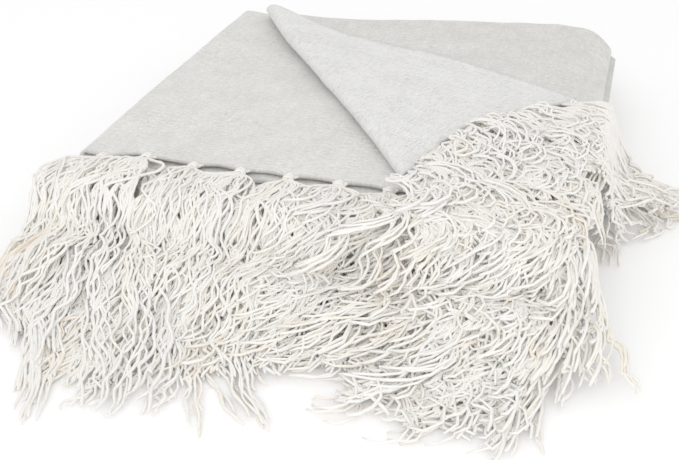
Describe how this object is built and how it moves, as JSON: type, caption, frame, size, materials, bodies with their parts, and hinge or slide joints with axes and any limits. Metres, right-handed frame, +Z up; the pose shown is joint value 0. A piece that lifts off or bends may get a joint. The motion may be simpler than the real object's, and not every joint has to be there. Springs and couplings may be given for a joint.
{
  "type": "chenille throw blanket",
  "caption": "Chenille throw blanket folded into a stack, one corner turned back, with a long knotted fringe spilling over the front and right side.",
  "frame": {"origin": "middle of the folded stack's underside, on the surface that it rests on", "axes": "+Z up, +X along the front hem to the right, +Y from the front hem to the back of the stack"},
  "size_m": [0.5526, 0.7056, 0.0847],
  "materials": {
    "chenille": "soft pile",
    "fringe_yarn": "fuzzy twisted yarn"
  },
  "bodies": {
    "root": {"throw_cloth": "chenille", "fringe_corner": "fringe_yarn", "fringe_top": "fringe_yarn", "fringe_second": "fringe_yarn", "fringe_third": "fringe_yarn", "fringe_end_top": "fringe_yarn", "fringe_end_middle": "fringe_yarn", "fringe_end_bottom": "fringe_yarn"}
  },
  "joints": []
}
